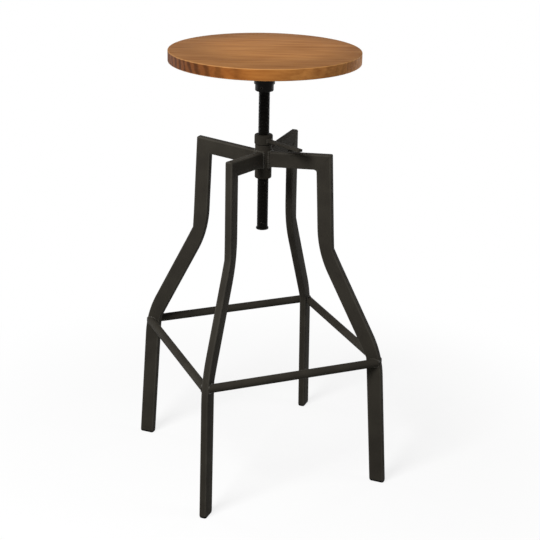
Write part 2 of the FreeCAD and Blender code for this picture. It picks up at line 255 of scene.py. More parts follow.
def stained_pine(seat):
    """Pine sawn beside the pith, stained honey brown and finished nearly matt."""
    # The eye sees soft streaks along the boards, each board a little lighter or darker, dark ring bands
    # on both ends of the rim and a pale line on its edges. The pale line is partly sanded stain and
    # partly a painted highlight; the top's lighter middle and the rim's darker near end and paler far
    # end are painted light and shade.
    material, add = empty_tree("stained_pine")
    place = add("TexCoord").outputs["Object"]
    normal = add("TexCoord").outputs["Normal"]
    pith = add("Attribute", attribute_name="pith").outputs["Vector"]
    tone = add("Attribute", attribute_name="tone").outputs["Fac"]
    rub_and_highlight = add("Attribute", attribute_name="rub_and_highlight").outputs["Fac"]
    lie = {"Rotation": (0, 0, seat.grain_azimuth)}
    # Streaks 14 mm wide and fibres 4 mm wide, both many times longer, and each
    # stave with its own. Real fibres are finer than a millimetre and are drawn
    # coarser so that they show.
    own = add("VectorMath", {0: place, 1: pith}, operation="ADD")
    run = add("Mapping", {**lie, "Vector": own, "Scale": (7, 1, 1)}, vector_type="TEXTURE")
    streak = add("TexNoise", {"Vector": run, "Scale": 1 / (14 * MM), "Detail": 3, "Roughness": 0.55})
    thread = add("Mapping", {**lie, "Vector": own, "Scale": (16, 1, 1)}, vector_type="TEXTURE")
    fibre = add("TexNoise", {"Vector": thread, "Scale": 1 / (4 * MM), "Detail": 2, "Roughness": 0.5})
    coarse = add("Math", {0: streak, 1: 1.6, 2: -0.9}, operation="MULTIPLY_ADD")
    figure = add("Math", {0: fibre, 1: 1.2, 2: coarse}, operation="MULTIPLY_ADD", use_clamp=True)
    wood = add("Mix", {
        0: figure, 6: (*seat.light_wood, 1), 7: (*seat.dark_wood, 1)}, data_type="RGBA")
    # Growth rings about each stave's pith, which wander slowly along the board.
    board = add("Mapping", {**lie, "Vector": place, "Scale": (9, 1, 1)}, vector_type="TEXTURE")
    heart = add("VectorMath", {0: board, 1: pith}, operation="SUBTRACT")
    rings = add("TexWave", {
        "Vector": heart, "Scale": math.pi / 10 / seat.ring_width, "Distortion": 4,
        "Detail": 2, "Detail Scale": 1.2, "Detail Roughness": 0.6,
    }, wave_type="RINGS", rings_direction="X", wave_profile="SIN")
    late = add("MapRange", {"Value": rings.outputs["Fac"], "From Min": 0.15}, **SMOOTH)
    cut = add("Mix", {0: late, 6: (*seat.end_light, 1), 7: (*seat.end_dark, 1)}, data_type="RGBA")
    # The rim's ends are cut across the fibres and take more stain. The near end is painted darker, and
    # further round, than the far end, as painted shade on the near end and painted light on the far
    # end.
    along = (math.cos(seat.grain_azimuth), math.sin(seat.grain_azimuth), 0)
    facing = add("VectorMath", {0: normal, 1: along}, operation="DOT_PRODUCT")
    near_end = add("MapRange", {"Value": facing, "From Min": -0.15, "From Max": -0.75}, **SMOOTH)
    far_end = add("MapRange", {
        "Value": facing, "From Min": 0.3, "From Max": 0.7, "To Max": 0.25}, **SMOOTH)
    ends = add("Math", {0: near_end, 1: far_end}, operation="ADD")
    stained = add("Mix", {0: ends, 6: wood, 7: cut}, data_type="RGBA")
    rise = add("SeparateXYZ", {0: normal}).outputs["Z"]
    upright = add("MapRange", {"Value": rise, "From Min": 0.9, "From Max": 0.3})
    # The rim's deeper stain is laid heavy on the near end and the front and fades out towards the far
    # end, painted shade over the real stain.
    soaked = add("MapRange", {"Value": facing, "From Min": 0.6, "From Max": -0.3})
    rim = add("Math", {0: upright, 1: soaked}, operation="MULTIPLY")
    deep = add("Mix", {
        0: rim, 6: stained, 7: (*seat.rim_stain, 1)}, data_type="RGBA", blend_type="MULTIPLY")
    # The pale line along the eased edges is partly stain sanded thin and partly a painted highlight.
    thin = add("Math", {0: rub_and_highlight, 1: 0.45}, operation="MULTIPLY")
    sanded = add("Mix", {0: thin, 6: deep, 7: (*seat.edge_wood, 1)}, data_type="RGBA")
    # The top is painted lighter in a soft pool a little off centre and darker towards its edge, a
    # painted pool of light and sheen.
    pool_reach = add("VectorMath", {0: place, 1: (31.1 * MM, 17.4 * MM, 765 * MM)}, operation="DISTANCE")
    painted_pool = add("MapRange", {
        "Value": pool_reach, "From Min": 75 * MM, "From Max": 165 * MM, "To Min": 1.06, "To Max": 0.7,
    }, **SMOOTH)
    # The far end of the rim is painted paler, as painted light. Ring bands show on the rim, up to where
    # it runs along the grain, and are fainter on the paler end.
    pale = add("MapRange", {
        "Value": facing, "From Min": 0.2, "From Max": 0.9, "To Min": 1.0, "To Max": 1.65})
    across = add("Math", {0: facing}, operation="ABSOLUTE")
    faint = add("MapRange", {
        "Value": facing, "From Min": -0.3, "From Max": 0.3, "To Min": 1.0, "To Max": 0.4})
    shown = add("MapRange", {
        "Value": across, "From Min": 0.16, "From Max": 0.32, "To Max": faint}, **SMOOTH)
    band = add("MapRange", {"Value": late, "To Min": 1.1, "To Max": 0.82})
    banded = add("Mix", {0: shown, 2: 1.0, 3: band})
    side = add("Math", {0: pale, 1: banded}, operation="MULTIPLY")
    depth = add("Mix", {0: upright, 2: painted_pool, 3: side})
    shade = add("Math", {0: tone, 1: 0.045, 2: depth}, operation="MULTIPLY_ADD")
    boards = add("HueSaturation", {"Color": sanded, "Value": shade})
    gloss = add("MapRange", {"Value": streak, "To Min": 0.55, "To Max": 0.7})
    relief = add("Bump", {"Height": fibre, "Strength": 0.2, "Distance": 0.2 * MM})
    shader = add("BsdfPrincipled", {
        "Base Color": boards, "Roughness": gloss, "Normal": relief, "Specular IOR Level": 0.08})
    add("OutputMaterial", {"Surface": shader})
    return material


def powder_coat(name, dark, light, rubbed, roughness, shine):
    """Dark bronze-grey powder coat, baked on steel."""
    # A satin skin with faint cloudy patches, paler along the rounded edges, partly as rubbed wear and
    # partly as a painted highlight, and a fine orange peel. The peel is really about half a millimetre
    # and is drawn at 3 mm so that it shows.
    material, add = empty_tree(name)
    place = add("TexCoord").outputs["Object"]
    rub_and_highlight = add("Attribute", attribute_name="rub_and_highlight").outputs["Fac"]
    cloud = add("TexNoise", {"Vector": place, "Scale": 1 / (45 * MM), "Detail": 3, "Roughness": 0.55})
    peel = add("TexNoise", {"Vector": place, "Scale": 1 / (3 * MM), "Detail": 2, "Roughness": 0.5})
    patches = add("MapRange", {"Value": cloud, "From Min": 0.3, "From Max": 0.7}, **SMOOTH)
    even = add("Mix", {0: patches, 6: (*dark, 1), 7: (*light, 1)}, data_type="RGBA")
    wear_and_highlight = add("Math", {0: rub_and_highlight, 1: cloud}, operation="MULTIPLY")
    skin = add("Mix", {0: wear_and_highlight, 6: even, 7: (*rubbed, 1)}, data_type="RGBA")
    gloss = add("MapRange", {"Value": cloud, "To Min": roughness + 0.07, "To Max": roughness - 0.07})
    relief = add("Bump", {"Height": peel, "Strength": 0.2, "Distance": 0.2 * MM})
    shader = add("BsdfPrincipled", {
        "Base Color": skin, "Roughness": gloss, "Normal": relief, "Specular IOR Level": shine})
    add("OutputMaterial", {"Surface": shader})
    return material


def blackened_steel(spindle, name, crest, speck_top, speck_bottom):
    """Black oxide steel with oil on it, rubbed to bright steel at its outermost edges, where the bright
    specks are also painted glints.
    """
    # Nearly black all over, with small bright specks on the outermost surface, partly rubbed steel and
    # partly painted glints, which grow in number from the height speck_top down to speck_bottom.
    material, add = empty_tree(name)
    place = add("TexCoord").outputs["Object"]
    level = add("VectorMath", {0: place, 1: (1, 1, 0)}, operation="MULTIPLY")
    radius = add("VectorMath", {0: level}, operation="LENGTH")
    edge = add("MapRange", {
        "Value": radius, "From Min": crest - 0.25 * MM, "From Max": crest - 0.05 * MM})
    height = add("SeparateXYZ", {0: place}).outputs["Z"]
    least = add("MapRange", {
        "Value": height, "From Min": speck_top, "From Max": speck_bottom, "To Min": 0.7, "To Max": 0.67})
    grit = add("TexNoise", {"Vector": place, "Scale": 1 / (1.5 * MM), "Detail": 2, "Roughness": 0.6})
    over = add("Math", {0: grit, 1: least}, operation="SUBTRACT")
    speck = add("MapRange", {"Value": over, "From Max": 0.04})
    bare_and_glint = add("Math", {0: speck, 1: edge}, operation="MULTIPLY")
    steel = add("Mix", {
        0: bare_and_glint, 6: (*spindle.black_steel, 1), 7: (*spindle.bare_steel_and_glint, 1)}, data_type="RGBA")
    gloss = add("MapRange", {"Value": grit, "To Min": 0.35, "To Max": 0.55})
    shader = add("BsdfPrincipled", {
        "Base Color": steel, "Roughness": gloss, "Metallic": bare_and_glint, "Specular IOR Level": 0.08})
    add("OutputMaterial", {"Surface": shader})
    return material


def screw_steel(mount):
    """Blackened screw steel, tumbled in the barrel."""
    # Dull dark metal with scuffs about 2 mm long that break its shine.
    material, add = empty_tree("screw_steel")
    place = add("TexCoord").outputs["Object"]
    scuff = add("TexNoise", {"Vector": place, "Scale": 1 / (2 * MM), "Detail": 3, "Roughness": 0.6})
    steel = add("Mix", {
        0: scuff, 6: (*mount.steel, 1), 7: (*mount.scuffed_steel, 1)}, data_type="RGBA")
    gloss = add("MapRange", {"Value": scuff, "To Min": 0.35, "To Max": 0.6})
    shader = add("BsdfPrincipled", {"Base Color": steel, "Roughness": gloss, "Metallic": 1.0})
    add("OutputMaterial", {"Surface": shader})
    return material


def moulded_polythene(tube):
    """Black moulded polythene with a spark-eroded mould grain."""
    # Deep black with a slightly waxy, uneven shine. The mould grain is about
    # 0.3 mm and is drawn at 1.5 mm so that it shows.
    material, add = empty_tree("moulded_polythene")
    place = add("TexCoord").outputs["Object"]
    grain = add("TexNoise", {"Vector": place, "Scale": 1 / (1.5 * MM), "Detail": 2, "Roughness": 0.5})
    black = add("Mix", {
        0: grain, 6: (*tube.glide_black, 1), 7: (*tube.glide_worn, 1)}, data_type="RGBA")
    gloss = add("MapRange", {"Value": grain, "To Min": 0.4, "To Max": 0.65})
    relief = add("Bump", {"Height": grain, "Strength": 0.2, "Distance": 0.1 * MM})
    shader = add("BsdfPrincipled", {
        "Base Color": black, "Roughness": gloss, "Normal": relief, "Specular IOR Level": 0.02})
    add("OutputMaterial", {"Surface": shader})
    return material


def coat():
    """Powder coat that all pieces of the frame share."""
    tube = bpy.context.scene.bar_stool.tube_frame
    return bpy.data.materials.get("powder_coat") or powder_coat(
        "powder_coat", tube.coat_dark, tube.coat_light, tube.coat_rubbed_and_lit, 0.62, 0.025)


def weld_coat():
    """The same coat where it lies thicker and shinier over the weld beads, painted lighter there as a
    painted highlight.
    """
    tube = bpy.context.scene.bar_stool.tube_frame
    return bpy.data.materials.get("powder_coat_on_weld") or powder_coat(
        "powder_coat_on_weld", tube.coat_light, tube.weld_highlight, tube.weld_highlight, 0.4, 0.15)


def add_object(bm, name):
    """Turn a mesh into an object of the scene."""
    mesh = bpy.data.meshes.new(name)
    bm.to_mesh(mesh)
    bm.free()
    thing = bpy.data.objects.new(name, mesh)
    bpy.context.scene.collection.objects.link(thing)
    return thing


def add_piece(bm, name, body, material, *nodes, slot="frame_coat"):
    """Close a mesh and make it a piece that rides on a body and stands for CAD nodes."""
    bmesh.ops.remove_doubles(bm, verts=bm.verts, dist=0.002 * MM)
    bmesh.ops.recalc_face_normals(bm, faces=bm.faces)
    piece = add_object(bm, name)
    piece.data.materials.append(material)
    piece.data.shade_smooth()
    piece.data.set_sharp_from_angle(angle=SMOOTH_ANGLE)
    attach(piece, body)
    if nodes:
        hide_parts(*nodes)
    return piece


def rotate(bm, matrix):
    """Turn a mesh about the origin."""
    bmesh.ops.rotate(bm, cent=(0, 0, 0), matrix=matrix, verts=bm.verts)


def about_spindle(bm, azimuth):
    """Turn a mesh about the spindle by an angle in radians."""
    rotate(bm, Matrix.Rotation(azimuth, 3, "Z"))


def aimed(place, way, axis="Z"):
    """Placement at a point, with one of its own axes along a direction."""
    return Matrix.Translation(place) @ way.to_track_quat(axis, "Y").to_matrix().to_4x4()


def slice_off(bm, point, normal):
    """Cut away what lies beyond a plane, close the cut and return its edges."""
    everything = bm.verts[:] + bm.edges[:] + bm.faces[:]
    cut = bmesh.ops.bisect_plane(bm, geom=everything, dist=0.001 * MM, plane_co=point,
                                 plane_no=normal, clear_outer=True)
    edges = [part for part in cut["geom_cut"] if isinstance(part, bmesh.types.BMEdge)]
    bmesh.ops.edgeloop_fill(bm, edges=edges)
    return edges


def round_edges(bm, edges, radius, steps=4):
    """Round edges off."""
    bmesh.ops.bevel(bm, geom=edges, offset=radius, offset_type="OFFSET", segments=steps,
                    profile=0.5, affect="EDGES", material=-1, clamp_overlap=True)


def sharp_edges(bm, height=None, beyond=0.0):
    """Sharp edges of a mesh, optionally only those at a height and beyond a radius."""
    chosen = []
    for edge in bm.edges:
        if len(edge.link_faces) != 2 or edge.calc_face_angle() < SHARP_ANGLE:
            continue
        ends = [vertex.co for vertex in edge.verts]
        if height is not None and any(abs(end.z - height) > 0.01 * MM for end in ends):
            continue
        if all(end.xy.length > beyond for end in ends):
            chosen.append(edge)
    return chosen


def mark_rub_and_highlight(bm, rubbed):
    """Note at each vertex how far its edge is rubbed and painted lighter as a highlight, by a function
    of its place.
    """
    layer = bm.verts.layers.float.new("rub_and_highlight")
    for vertex in bm.verts:
        vertex[layer] = rubbed(vertex.co)


def upright_edges(bm, beyond=-1.0):
    """Upright edges of a block that lie beyond a place along X."""
    return [edge for edge in bm.edges if abs(edge.verts[0].co.z - edge.verts[1].co.z) > MM
            and all(vertex.co.x > beyond for vertex in edge.verts)]


def block(depth, width, height, centre):
    """Mesh of a square block."""
    bm = bmesh.new()
    bmesh.ops.create_cube(bm, size=1, matrix=(Matrix.Translation(centre)
                                              @ Matrix.Diagonal((depth, width, height, 1))))
    return bm


def round_bar(bm, radius, length, place, segments):
    """Add a closed cylinder to a mesh and return its vertices."""
    return bmesh.ops.create_cone(bm, cap_ends=True, segments=segments, radius1=radius, radius2=radius,
                                 depth=length, matrix=place)["verts"]


def turned_body(outline):
    """Mesh of a closed outline of radius and height, turned about the spindle axis."""
    bm = bmesh.new()
    points = [bm.verts.new((radius, 0, height)) for radius, height in outline]
    edges = [bm.edges.new(pair) for pair in zip(points, points[1:] + points[:1])]
    bmesh.ops.spin(bm, geom=points + edges, cent=(0, 0, 0), axis=Z, angle=2 * math.pi,
                   steps=96, use_merge=True)
    bmesh.ops.recalc_face_normals(bm, faces=bm.faces)
    return bm


def bore_radius(stool):
    """Radius of the bores that the spindle runs in."""
    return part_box("spindle")[1].x + stool.spindle.running_clearance


def sleeve(node, bore):
    """Turned ring in the box of a CAD node."""
    low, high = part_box(node)
    return turned_body([(bore, low.z), (high.x, low.z), (high.x, high.z), (bore, high.z)])


def tube_section(bm, depth, width, corner):
    """Rounded rectangle in the XY plane; returns its edge loop."""
    sheet = bmesh.ops.create_grid(bm, x_segments=1, y_segments=1, size=0.5)["verts"]
    bmesh.ops.scale(bm, vec=(depth, width, 1), verts=sheet)
    bmesh.ops.bevel(bm, geom=sheet, offset=corner, offset_type="OFFSET", segments=6,
                    profile=0.5, affect="VERTICES", material=-1)
    bmesh.ops.delete(bm, geom=bm.faces[:], context="FACES_ONLY")
    flat = Vector((depth / 2 - corner, width / 2 - corner))
    # The rounded corners are marked for paler edges, partly rubbed wear and partly a painted highlight.
    mark_rub_and_highlight(bm, lambda spot: min(
        1, 2 * max(0, min(abs(spot.x) - flat.x, abs(spot.y) - flat.y)) / corner))
    return bm.verts[:] + bm.edges[:]


def swept_tube(section, path, bend_radius, crease):
    """Tube along straight runs in the XZ plane, joined by tangent bends."""
    bm = bmesh.new()
    loop = tube_section(bm, *section)
    ways = [(end - start).normalized() for start, end in zip(path, path[1:])]
    tilt = Matrix.Rotation(math.atan2(ways[0].x, ways[0].z), 4, "Y")
    bmesh.ops.transform(bm, matrix=Matrix.Translation(path[0]) @ tilt, verts=bm.verts)
    place = path[0]
    bends = []
    for point, before, after in zip(path[1:], ways, ways[1:]):
        angle = before.angle(after)
        start = point - before * bend_radius * math.tan(angle / 2)
        axis = before.cross(after).normalized()
        centre = start + axis.cross(before) * bend_radius
        loop = bmesh.ops.spin(bm, geom=loop, cent=place, axis=Y, angle=0, steps=1,
                              dvec=start - place)["geom_last"]
        loop = bmesh.ops.spin(bm, geom=loop, cent=centre, axis=axis, angle=angle, steps=14)["geom_last"]
        place = point + after * bend_radius * math.tan(angle / 2)
        bends.append((centre, (point - centre).normalized(), angle))
    bmesh.ops.spin(bm, geom=loop, cent=place, axis=Y, angle=0, steps=1, dvec=path[-1] - place)
    for centre, middle, angle in bends:
        press_crease(bm, centre, middle, angle, bend_radius, section[0] / 2, crease)
    return bm


def press_crease(bm, centre, middle, angle, radius, half_depth, crease):
    """Press the hollow side of a bend towards the sharp corner of its straight runs."""
    for vertex in bm.verts:
        level = Vector((vertex.co.x - centre.x, 0, vertex.co.z - centre.z))
        off = level.angle(middle)
        if off > angle / 2 or level.length > radius + half_depth + MM:
            continue
        hollow = (radius + half_depth - level.length) / (2 * half_depth)
        sharp = 1 / math.cos(angle / 2 - off) - 1
        vertex.co += level * sharp * crease * max(hollow, 0)


def lower_leg(tube):
    """Knee and foot on a leg's centre line before it leans, and the lean."""
    return (Vector((tube.knee_reach, 0, tube.knee_height)), Vector((tube.foot_reach, 0, 0)),
            Matrix.Rotation(tube.leg_lean, 3, "X"))


def walk(corners, step):
    """Evenly spaced points round a closed run of corners."""
    points = []
    for start, end in zip(corners, corners[1:] + corners[:1]):
        count = max(1, round((end - start).length / step))
        points += [start.lerp(end, index / count) for index in range(count)]
    return points


def lay_bead(bm, corners, tube, width=1.0):
    """Add a rippled weld bead round a closed run of corners to a mesh."""
    curve = bpy.data.curves.new("bead", "CURVE")
    curve.dimensions = "3D"
    curve.bevel_depth = tube.weld_width * width / 2
    curve.bevel_resolution = 2
    points = walk(corners, tube.weld_ripple / 8)
    spline = curve.splines.new("POLY")
    spline.points.add(len(points) - 1)
    spline.use_cyclic_u = True
    # Even ripples that swell and thin slowly, as a hand lays them.
    for index, (target, place) in enumerate(zip(spline.points, points)):
        target.co = (*place, 1)
        target.radius = (1 + 0.11 * math.cos(index * math.pi / 4) + 0.08 * math.sin(index * 0.17)
                         + 0.05 * math.sin(index * 0.43))
    bead = bpy.data.objects.new("bead", curve)
    mesh = bpy.data.meshes.new_from_object(bead)
    bm.from_mesh(mesh)
    bpy.data.objects.remove(bead)
    bpy.data.curves.remove(curve)
    bpy.data.meshes.remove(mesh)


def hub_seam(radius, depth, width, height, slope=0.0):
    """Corners of the seam where a flat-sided bar along X meets an upright cylinder."""
    spots = [width * step / 4 for step in (-2, -1, 0, 1, 2)]
    seam = []
    for side, across in ((-1, spots), (1, spots[::-1])):
        for y in across:
            x = math.sqrt(radius ** 2 - y ** 2)
            seam.append(Vector((x, y, height + slope * x + side * depth / 2)))
    return seam


def fill_crook(bm, crook, arm_way, leg_way, radius, width):
    """Add the hollow weld in the inner corner between an arm and a leg."""
    inward = (arm_way + leg_way).normalized()
    half = inward.angle(arm_way)
    centre = crook + inward * radius / math.sin(half)
    reach = radius / math.tan(half)
    start, end = crook + arm_way * reach, crook + leg_way * reach
    arc = [bm.verts.new(start - Y * width / 2)]
    sweep = (start - centre).angle(end - centre)
    axis = (start - centre).cross(end - centre).normalized()
    made = bmesh.ops.spin(bm, geom=arc, cent=centre, axis=axis, angle=sweep, steps=7)["geom_last"]
    bed = crook - inward * 2 * MM
    root = bm.verts.new(bed - Y * width / 2)
    bm.edges.new((arc[0], root))
    bm.edges.new((made[0], root))
    face = bmesh.ops.contextual_create(bm, geom=bm.edges[:])["faces"]
    bulk = bmesh.ops.extrude_face_region(bm, geom=face)["geom"]
    moved = [part for part in bulk if isinstance(part, bmesh.types.BMVert)]
    bmesh.ops.translate(bm, vec=Y * width, verts=moved)


class BARSTOOL_OT_seat_board(Operator):
    """Model the round seat board as glued pine staves with an eased rim"""

    bl_idname = "bar_stool.seat_board"
    bl_label = "Seat board"

    def execute(self, context):
        seat = context.scene.bar_stool.seat_board
        boxes = [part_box(name) for name in STAVES]
        low = min(box[0].z for box in boxes)
        high = max(box[1].z for box in boxes)
        radius = (max(box[1].x for box in boxes) - min(box[0].x for box in boxes)) / 2
        pine = stained_pine(seat)
        width = 2 * radius / len(STAVES)
        for index, name in enumerate(STAVES):
            bm = bmesh.new()
            round_bar(bm, radius, high - low, Matrix.Translation(Z * (low + high) / 2), segments=240)
            round_edges(bm, sharp_edges(bm), seat.edge_round, 6)
            near = index * width - radius
            if index > 0:
                slice_off(bm, (0, near, 0), -Y)
            if index < len(STAVES) - 1:
                slice_off(bm, (0, near + width, 0), Y)
            # The staves are cut beside the pith, so their rings stand nearly upright.
            heart = Vector((0.31 * index, near + width / 2 + 0.09 + 0.02 * math.sin(2.1 * index + 0.6),
                            (low + high) / 2 - 0.022 + 0.006 * math.sin(1.3 * index)))
            pith = bm.verts.layers.float_vector.new("pith")
            tone = bm.verts.layers.float.new("tone")
            for vertex in bm.verts:
                vertex[pith] = heart
                vertex[tone] = math.sin(2.4 * index + 0.9)
            slack = 0.05 * MM
            # Mark the eased edges for the pale line, which is partly sanded stain and partly a painted
            # highlight.
            mark_rub_and_highlight(bm, lambda spot: float(low + slack < spot.z < high - slack
                                            and spot.xy.length < radius - slack))
            about_spindle(bm, seat.grain_azimuth)
            add_piece(bm, f"pine_stave_{index + 1}", "seat", pine, name, slot="seat_wood")
        return {"FINISHED"}


class BARSTOOL_OT_seat_mount(Operator):
    """Model the plate, the collar with its set screw hole, and the wood screws under the seat"""

    bl_idname = "bar_stool.seat_mount"
    bl_label = "Seat mount"

    def execute(self, context):
        stool = context.scene.bar_stool
        mount = stool.seat_mount
        low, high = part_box("seat_collar")
        black = blackened_steel(stool.spindle, "blackened_collar_steel", 1.0, 0.0, -1.0)
        neck_top = low.z + mount.neck_length
        neck = mount.neck_diameter / 2
        bore = bore_radius(stool)
        bm = turned_body([(bore, low.z), (neck, low.z), (neck, neck_top), (high.x, neck_top),
                          (high.x, high.z), (bore, high.z)])
        round_edges(bm, sharp_edges(bm, low.z, beyond=bore + MM), mount.mouth_round)
        round_edges(bm, sharp_edges(bm, neck_top, beyond=neck + MM), mount.shoulder_round)
        collar = add_piece(bm, "collar_body", "seat", black, "seat_collar")
        self.drill(collar, mount)
        self.plate(stool, mount)
        self.screws(stool, mount)
        return {"FINISHED"}

    def drill(self, collar, mount):
        """Cut the hole of the set screw into the collar, and give the screw its steel."""
        low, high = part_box("grub_screw")
        middle = (low + high) / 2
        outward = Vector((middle.x, middle.y, 0)).normalized()
        bm = bmesh.new()
        depth = 24 * MM
        place = aimed(outward * 20 * MM + Z * middle.z, outward)
        round_bar(bm, mount.grub_hole / 2, depth, place, segments=32)
        drill = add_object(bm, "drill")
        cut = collar.modifiers.new("drill", "BOOLEAN")
        cut.object = drill
        cut.solver = "EXACT"
        drilled = collar.evaluated_get(bpy.context.evaluated_depsgraph_get())
        collar.data = bpy.data.meshes.new_from_object(drilled)
        collar.modifiers.remove(cut)
        bpy.data.meshes.remove(drill.data)
        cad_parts["grub_screw"].material_slots[0].material = screw_steel(mount)

    def plate(self, stool, mount):
        """Square steel plate with cut corners, welded to the collar."""
        low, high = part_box("seat_plate")
        azimuth = stool.seat_board.grain_azimuth
        bm = block(mount.plate_side, mount.plate_side, high.z - low.z, Z * (low.z + high.z) / 2)
        round_edges(bm, upright_edges(bm), mount.plate_corner_cut, 1)
        round_edges(bm, sharp_edges(bm), mount.plate_edge, 2)
        about_spindle(bm, azimuth)
        add_piece(bm, "mounting_plate", "seat", coat(), "seat_plate")
        bm = bmesh.new()
        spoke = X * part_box("seat_collar")[1].x + Z * low.z
        around = [Matrix.Rotation(step * math.pi / 24, 3, "Z") @ spoke for step in range(48)]
        lay_bead(bm, around, stool.tube_frame)
        add_piece(bm, "collar_weld", "seat", weld_coat())

    def screws(self, stool, mount):
        """Round screw heads with a hexagon socket, under the plate."""
        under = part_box("seat_plate")[0].z
        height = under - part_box("seat_screws")[0].z
        bm = bmesh.new()
        segments = 36
        socket_depth = 1.6 * MM
        for along, across in ((1, 1), (-1, 1), (-1, -1), (1, -1)):
            spot = Vector((along, across, 0)) * mount.screw_spacing / 2 + Z * (under - height / 2)
            made = round_bar(bm, mount.screw_head / 2, height, Matrix.Translation(spot), segments)
            crown = next(vertex for vertex in made if vertex.co.z < spot.z)
            face = next(face for face in crown.link_faces if len(face.verts) == segments)
            round_edges(bm, face.edges[:], 0.65 * height)
        crowns = [face for face in bm.faces
                  if len(face.verts) == segments and face.calc_center_median().z < under - height / 2]
        bmesh.ops.inset_individual(bm, faces=crowns, thickness=0.6 * MM)
        for face in crowns:
            middle = face.calc_center_median()
            for vertex in face.verts:
                out = (vertex.co - middle).normalized()
                bearing = math.atan2(out.y, out.x)
                off_flat = (bearing + math.pi / 6) % (math.pi / 3) - math.pi / 6
                vertex.co = middle + out * mount.screw_socket / 2 / math.cos(off_flat)
        bmesh.ops.inset_individual(bm, faces=crowns, thickness=0, depth=-socket_depth)
        about_spindle(bm, stool.seat_board.grain_azimuth)
        add_piece(bm, "screw_heads", "seat", bpy.data.materials["screw_steel"], "seat_screws",
                  slot="screw_steel")


class BARSTOOL_OT_spindle(Operator):
    """Model the spindle with its cut thread, and the stop ring at its lower end"""

    bl_idname = "bar_stool.spindle"
    bl_label = "Spindle"

    def execute(self, context):
        spindle = context.scene.bar_stool.spindle
        low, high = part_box("spindle")
        hub_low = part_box("hub_sleeve")[0].z
        crest = high.x
        root = crest - spindle.thread_depth
        pitch = spindle.thread_pitch
        start = low.z - 1.5 * pitch
        bm = bmesh.new()
        # Flat root, rising flank, flat crest and falling flank, in shares of the pitch.
        outline = ((root, 0), (root, 0.14), (crest, 0.43), (crest, 0.71), (root, 1))
        points = [bm.verts.new((radius, 0, start + rise * pitch)) for radius, rise in outline]
        edges = [bm.edges.new(pair) for pair in zip(points, points[1:])]
        steps = 40
        bmesh.ops.spin(bm, geom=points + edges, cent=(0, 0, 0), axis=Z, dvec=Z * pitch / steps,
                       angle=2 * math.pi, steps=steps)
        turns = 1
        while turns < (high.z - low.z) / pitch + 3:
            made = bmesh.ops.duplicate(bm, geom=bm.verts[:] + bm.edges[:] + bm.faces[:])["geom"]
            copied = [part for part in made if isinstance(part, bmesh.types.BMVert)]
            bmesh.ops.translate(bm, vec=Z * pitch * turns, verts=copied)
            turns *= 2
        bmesh.ops.remove_doubles(bm, verts=bm.verts, dist=0.01 * MM)
        slice_off(bm, (0, 0, low.z), -Z)
        slice_off(bm, (0, 0, high.z), Z)
        black = blackened_steel(spindle, "blackened_thread_steel", crest, hub_low, low.z)
        add_piece(bm, "threaded_spindle", "seat", black, "spindle", slot="spindle_steel")
        low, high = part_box("spindle_stop_ring")
        bore = crest + spindle.running_clearance
        bm = sleeve("spindle_stop_ring", bore)
        round_edges(bm, sharp_edges(bm, beyond=bore + 0.5 * MM), spindle.ring_round)
        wear_and_highlight = blackened_steel(spindle, "worn_and_glinting_ring_steel", high.x, high.z, low.z)
        add_piece(bm, "stop_ring", "lift", wear_and_highlight, "spindle_stop_ring", slot="spindle_steel")
        return {"FINISHED"}


class BARSTOOL_OT_hub(Operator):
    """Model the hub sleeve that the arms are welded to"""

    bl_idname = "bar_stool.hub"
    bl_label = "Hub"

    def execute(self, context):
        stool = context.scene.bar_stool
        low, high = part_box("hub_sleeve")
        bore = bore_radius(stool)
        bm = sleeve("hub_sleeve", bore)
        round_edges(bm, sharp_edges(bm, low.z, beyond=bore + MM), stool.tube_frame.hub_mouth_round)
        round_edges(bm, sharp_edges(bm, high.z, beyond=bore + MM), stool.tube_frame.hub_top_round)
        add_piece(bm, "hub_body", "frame", coat(), "hub_sleeve")
        return {"FINISHED"}


class BARSTOOL_OT_lock(Operator):
    """Model the round lock nut and the flat lever welded to it"""

    bl_idname = "bar_stool.lock"
    bl_label = "Lock nut and lever"

    def execute(self, context):
        stool = context.scene.bar_stool
        lock = stool.lock
        low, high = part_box("lock_nut")
        bore = bore_radius(stool)
        nut = high.x
        bm = sleeve("lock_nut", bore)
        round_edges(bm, sharp_edges(bm, high.z, beyond=bore + MM), lock.nut_round, 5)
        round_edges(bm, sharp_edges(bm, low.z, beyond=bore + MM), lock.nut_foot_round)
        add_piece(bm, "nut_body", "lock", coat(), "lock_nut")
        low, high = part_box("lock_lever")
        thickness = high.z - low.z
        middle = (low.z + high.z) / 2
        inner = nut - 1.5 * MM
        bm = block(lock.lever_reach - inner, lock.lever_width, thickness,
                   X * (lock.lever_reach + inner) / 2 + Z * middle)
        round_edges(bm, upright_edges(bm, beyond=lock.lever_reach - MM), lock.lever_round, 5)
        round_edges(bm, sharp_edges(bm), lock.lever_edge, 3)
        about_spindle(bm, lock.lever_azimuth)
        add_piece(bm, "lever_bar", "lock", coat(), "lock_lever")
        bm = bmesh.new()
        lay_bead(bm, hub_seam(nut, thickness, lock.lever_width, middle), stool.tube_frame, width=0.8)
        about_spindle(bm, lock.lever_azimuth)
        add_piece(bm, "lever_weld", "lock", weld_coat())
        return {"FINISHED"}


